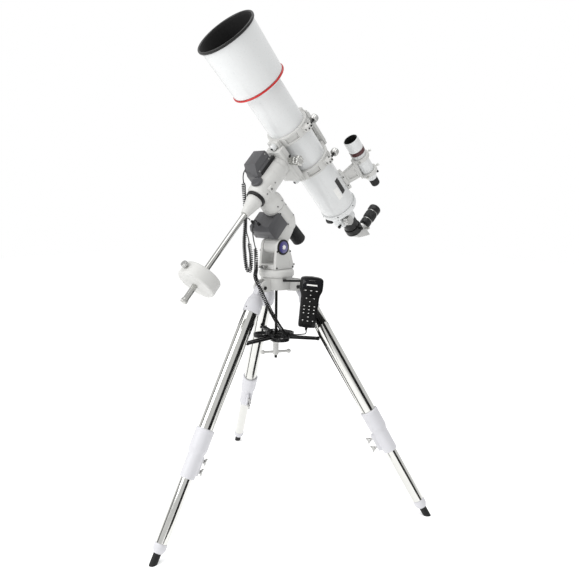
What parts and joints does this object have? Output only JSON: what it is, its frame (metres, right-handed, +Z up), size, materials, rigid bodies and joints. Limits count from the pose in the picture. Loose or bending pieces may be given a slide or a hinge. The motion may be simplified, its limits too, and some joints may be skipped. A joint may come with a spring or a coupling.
{
  "type": "refractor telescope",
  "caption": "Short refractor on a German equatorial mount with motor housings, hand controller, finder and a three-leg steel field tripod.",
  "frame": {"origin": "middle of the box around the whole object, on the floor that its three feet stand on", "axes": "+Z up; the polar axis and the open front of the tube point to -X and up; +Y is to the left of someone looking along -X"},
  "size_m": [1.1374, 0.9817, 1.6879],
  "materials": {
    "casting_paint": "satin warm-white powder coat on die castings",
    "leg_paint": "satin cool-white paint on the leg castings",
    "polished_steel": "polished stainless steel with long soft streaks",
    "chrome": "bright chrome plate",
    "tube_paint": "gloss white enamel",
    "red_ring": "bright red anodised ring",
    "black_metal": "black anodised or powder-coated aluminium",
    "black_plastic": "black moulded plastic",
    "motor_plastic": "dark grey moulded plastic, finely grained",
    "rubber": "black rubber",
    "cord_jacket": "black flexible cord jacket",
    "silver_anodised": "silver anodised aluminium",
    "badge_plastic": "blue-violet domed badge with a plain pale centre",
    "lens_glass": "coated objective glass"
  },
  "bodies": {
    "tripod": {"tripod_head": "casting_paint", "leg_cap_a": "leg_paint", "leg_tube_a": "polished_steel", "leg_collar_a": "leg_paint", "leg_cap_b": "leg_paint", "leg_tube_b": "polished_steel", "leg_collar_b": "leg_paint", "leg_cap_c": "leg_paint", "leg_tube_c": "polished_steel", "leg_collar_c": "leg_paint", "center_rod": "polished_steel", "spreader_tray": "black_metal", "hand_controller": "black_plastic", "handset_cord": "cord_jacket"},
    "keypad": {"keypad": "rubber"},
    "spreader_handle": {"spreader_handle": "casting_paint"},
    "azimuth": {"mount_base": "casting_paint", "latitude_fork": "casting_paint", "pivot_badge": "badge_plastic"},
    "latitude_bolt_rear": {"latitude_bolt_rear": "polished_steel"},
    "latitude_bolt_front": {"latitude_bolt_front": "polished_steel"},
    "latitude": {"polar_housing": "casting_paint", "ra_motor_housing": "motor_plastic", "dec_cord": "cord_jacket"},
    "polar_cover": {"polar_scope_cover": "black_plastic"},
    "ra": {"ra_head": "casting_paint", "dec_motor_housing": "motor_plastic", "counterweight_cone": "casting_paint", "counterweight_shaft": "chrome"},
    "dec_circle": {"dec_setting_circle": "black_metal"},
    "counterweight": {"counterweight": "casting_paint"},
    "counterweight_screw": {"counterweight_screw": "chrome"},
    "telescope": {"saddle": "casting_paint", "dovetail_bar": "casting_paint", "ring_lower_front": "casting_paint", "ring_lower_rear": "casting_paint", "main_tube": "tube_paint", "lens_cell": "tube_paint", "accent_ring": "red_ring", "dew_shield": "tube_paint", "objective_lens": "lens_glass", "rear_cell": "tube_paint", "finder_bracket": "casting_paint", "finder_tube": "tube_paint"},
    "saddle_knob": {"saddle_knob": "chrome"},
    "ring_tops": {"ring_upper_front": "casting_paint", "ring_upper_rear": "casting_paint", "top_bar": "casting_paint"},
    "clamp_knob_front": {"clamp_knob_front": "polished_steel"},
    "clamp_knob_rear": {"clamp_knob_rear": "polished_steel"},
    "drawtube": {"drawtube": "black_metal"},
    "focus_knobs": {"focus_knobs": "black_metal"},
    "diagonal": {"diagonal": "silver_anodised"},
    "eyepiece": {"eyepiece": "black_metal"},
    "leg_extension_a": {"leg_extension_a": "polished_steel", "leg_foot_a": "rubber"},
    "leg_extension_b": {"leg_extension_b": "polished_steel", "leg_foot_b": "rubber"},
    "leg_extension_c": {"leg_extension_c": "polished_steel", "leg_foot_c": "rubber"}
  },
  "joints": [
    {"name": "leg_a_length", "type": "slide", "parent": "tripod", "child": "leg_extension_a", "axis": [-0.5045, -0.0335, -0.8628], "range_m": [-0.185, 0.25]},
    {"name": "leg_b_length", "type": "slide", "parent": "tripod", "child": "leg_extension_b", "axis": [0.2813, -0.4202, -0.8628], "range_m": [-0.185, 0.25]},
    {"name": "leg_c_length", "type": "slide", "parent": "tripod", "child": "leg_extension_c", "axis": [0.2232, 0.4537, -0.8628], "range_m": [-0.185, 0.25]},
    {"name": "spreader_handle_turn", "type": "hinge", "parent": "tripod", "child": "spreader_handle", "pos_m": [-0.00514, -0.01761, 0.58], "axis": [0, 0, 1], "continuous": true},
    {"name": "keypad_press", "type": "slide", "parent": "tripod", "child": "keypad", "axis": [0.6997, 0.7145, 0], "range_m": [0, 0.0008], "stiffness_N_per_m": 900},
    {"name": "azimuth_adjust", "type": "hinge", "parent": "tripod", "child": "azimuth", "pos_m": [-0.00514, -0.01761, 0.833], "axis": [0, 0, 1], "range_deg": [-8, 8], "deforming": ["handset_cord"]},
    {"name": "latitude_bolt_rear_turn", "type": "hinge", "parent": "azimuth", "child": "latitude_bolt_rear", "pos_m": [0.05486, -0.01761, 0.871], "axis": [1, 0, 0], "continuous": true},
    {"name": "latitude_bolt_front_turn", "type": "hinge", "parent": "azimuth", "child": "latitude_bolt_front", "pos_m": [-0.06514, -0.01761, 0.871], "axis": [1, 0, 0], "continuous": true},
    {"name": "latitude_tilt", "type": "hinge", "parent": "azimuth", "child": "latitude", "pos_m": [-0.01714, -0.01761, 0.9395], "axis": [0, 1, 0], "range_deg": [-18, 15], "deforming": ["handset_cord"]},
    {"name": "polar_cover_pull", "type": "slide", "parent": "latitude", "child": "polar_cover", "axis": [0.7254, 0, -0.6884], "range_m": [0, 0.03]},
    {"name": "ra_axis", "type": "hinge", "parent": "latitude", "child": "ra", "pos_m": [-0.07738, -0.01761, 1.13315], "axis": [-0.7254, 0, 0.6884], "range_deg": [-90, 90], "deforming": ["dec_cord"]},
    {"name": "dec_circle_turn", "type": "hinge", "parent": "ra", "child": "dec_circle", "pos_m": [-0.10492, -0.01761, 1.10414], "axis": [-0.6884, 0, -0.7254], "continuous": true},
    {"name": "counterweight_slide", "type": "slide", "parent": "ra", "child": "counterweight", "axis": [-0.6884, 0, -0.7254], "range_m": [-0.24, 0.05]},
    {"name": "counterweight_screw_turn", "type": "hinge", "parent": "counterweight", "child": "counterweight_screw", "pos_m": [-0.39096, -0.01761, 0.89859], "axis": [-0.7254, 0, 0.6884], "continuous": true},
    {"name": "dec_axis", "type": "hinge", "parent": "ra", "child": "telescope", "pos_m": [-0.07738, -0.01761, 1.13315], "axis": [-0.6884, 0, -0.7254], "range_deg": [-90, 90]},
    {"name": "saddle_knob_turn", "type": "hinge", "parent": "telescope", "child": "saddle_knob", "pos_m": [0.01623, -0.07761, 1.2318], "axis": [0, -1, 0], "continuous": true},
    {"name": "ring_tops_open", "type": "hinge", "parent": "telescope", "child": "ring_tops", "pos_m": [0.08644, 0.06639, 1.30579], "axis": [-0.7254, 0, 0.6884], "range_deg": [0, 70]},
    {"name": "clamp_knob_front_turn", "type": "hinge", "parent": "ring_tops", "child": "clamp_knob_front", "pos_m": [0.06792, -0.10861, 1.36472], "axis": [-0.6884, 0, -0.7254], "continuous": true},
    {"name": "clamp_knob_rear_turn", "type": "hinge", "parent": "ring_tops", "child": "clamp_knob_rear", "pos_m": [0.17891, -0.10861, 1.2594], "axis": [-0.6884, 0, -0.7254], "continuous": true},
    {"name": "drawtube_slide", "type": "slide", "parent": "telescope", "child": "drawtube", "axis": [0.7254, 0, -0.6884], "range_m": [-0.03, 0.06]},
    {"name": "focus_turn", "type": "hinge", "parent": "telescope", "child": "focus_knobs", "pos_m": [0.3315, -0.01761, 1.02361], "axis": [0, 1, 0], "range_deg": [-225, 445]},
    {"name": "diagonal_turn", "type": "hinge", "parent": "drawtube", "child": "diagonal", "pos_m": [0.43462, -0.01761, 0.97538], "axis": [-0.7254, 0, 0.6884], "range_deg": [-120, 120]},
    {"name": "eyepiece_pull", "type": "slide", "parent": "diagonal", "child": "eyepiece", "axis": [0.6867, -0.0698, 0.7236], "range_m": [0, 0.03]}
  ],
  "couplings": [
    {"joint": "focus_turn", "follows": "drawtube_slide", "rad_per_m": 125}
  ]
}
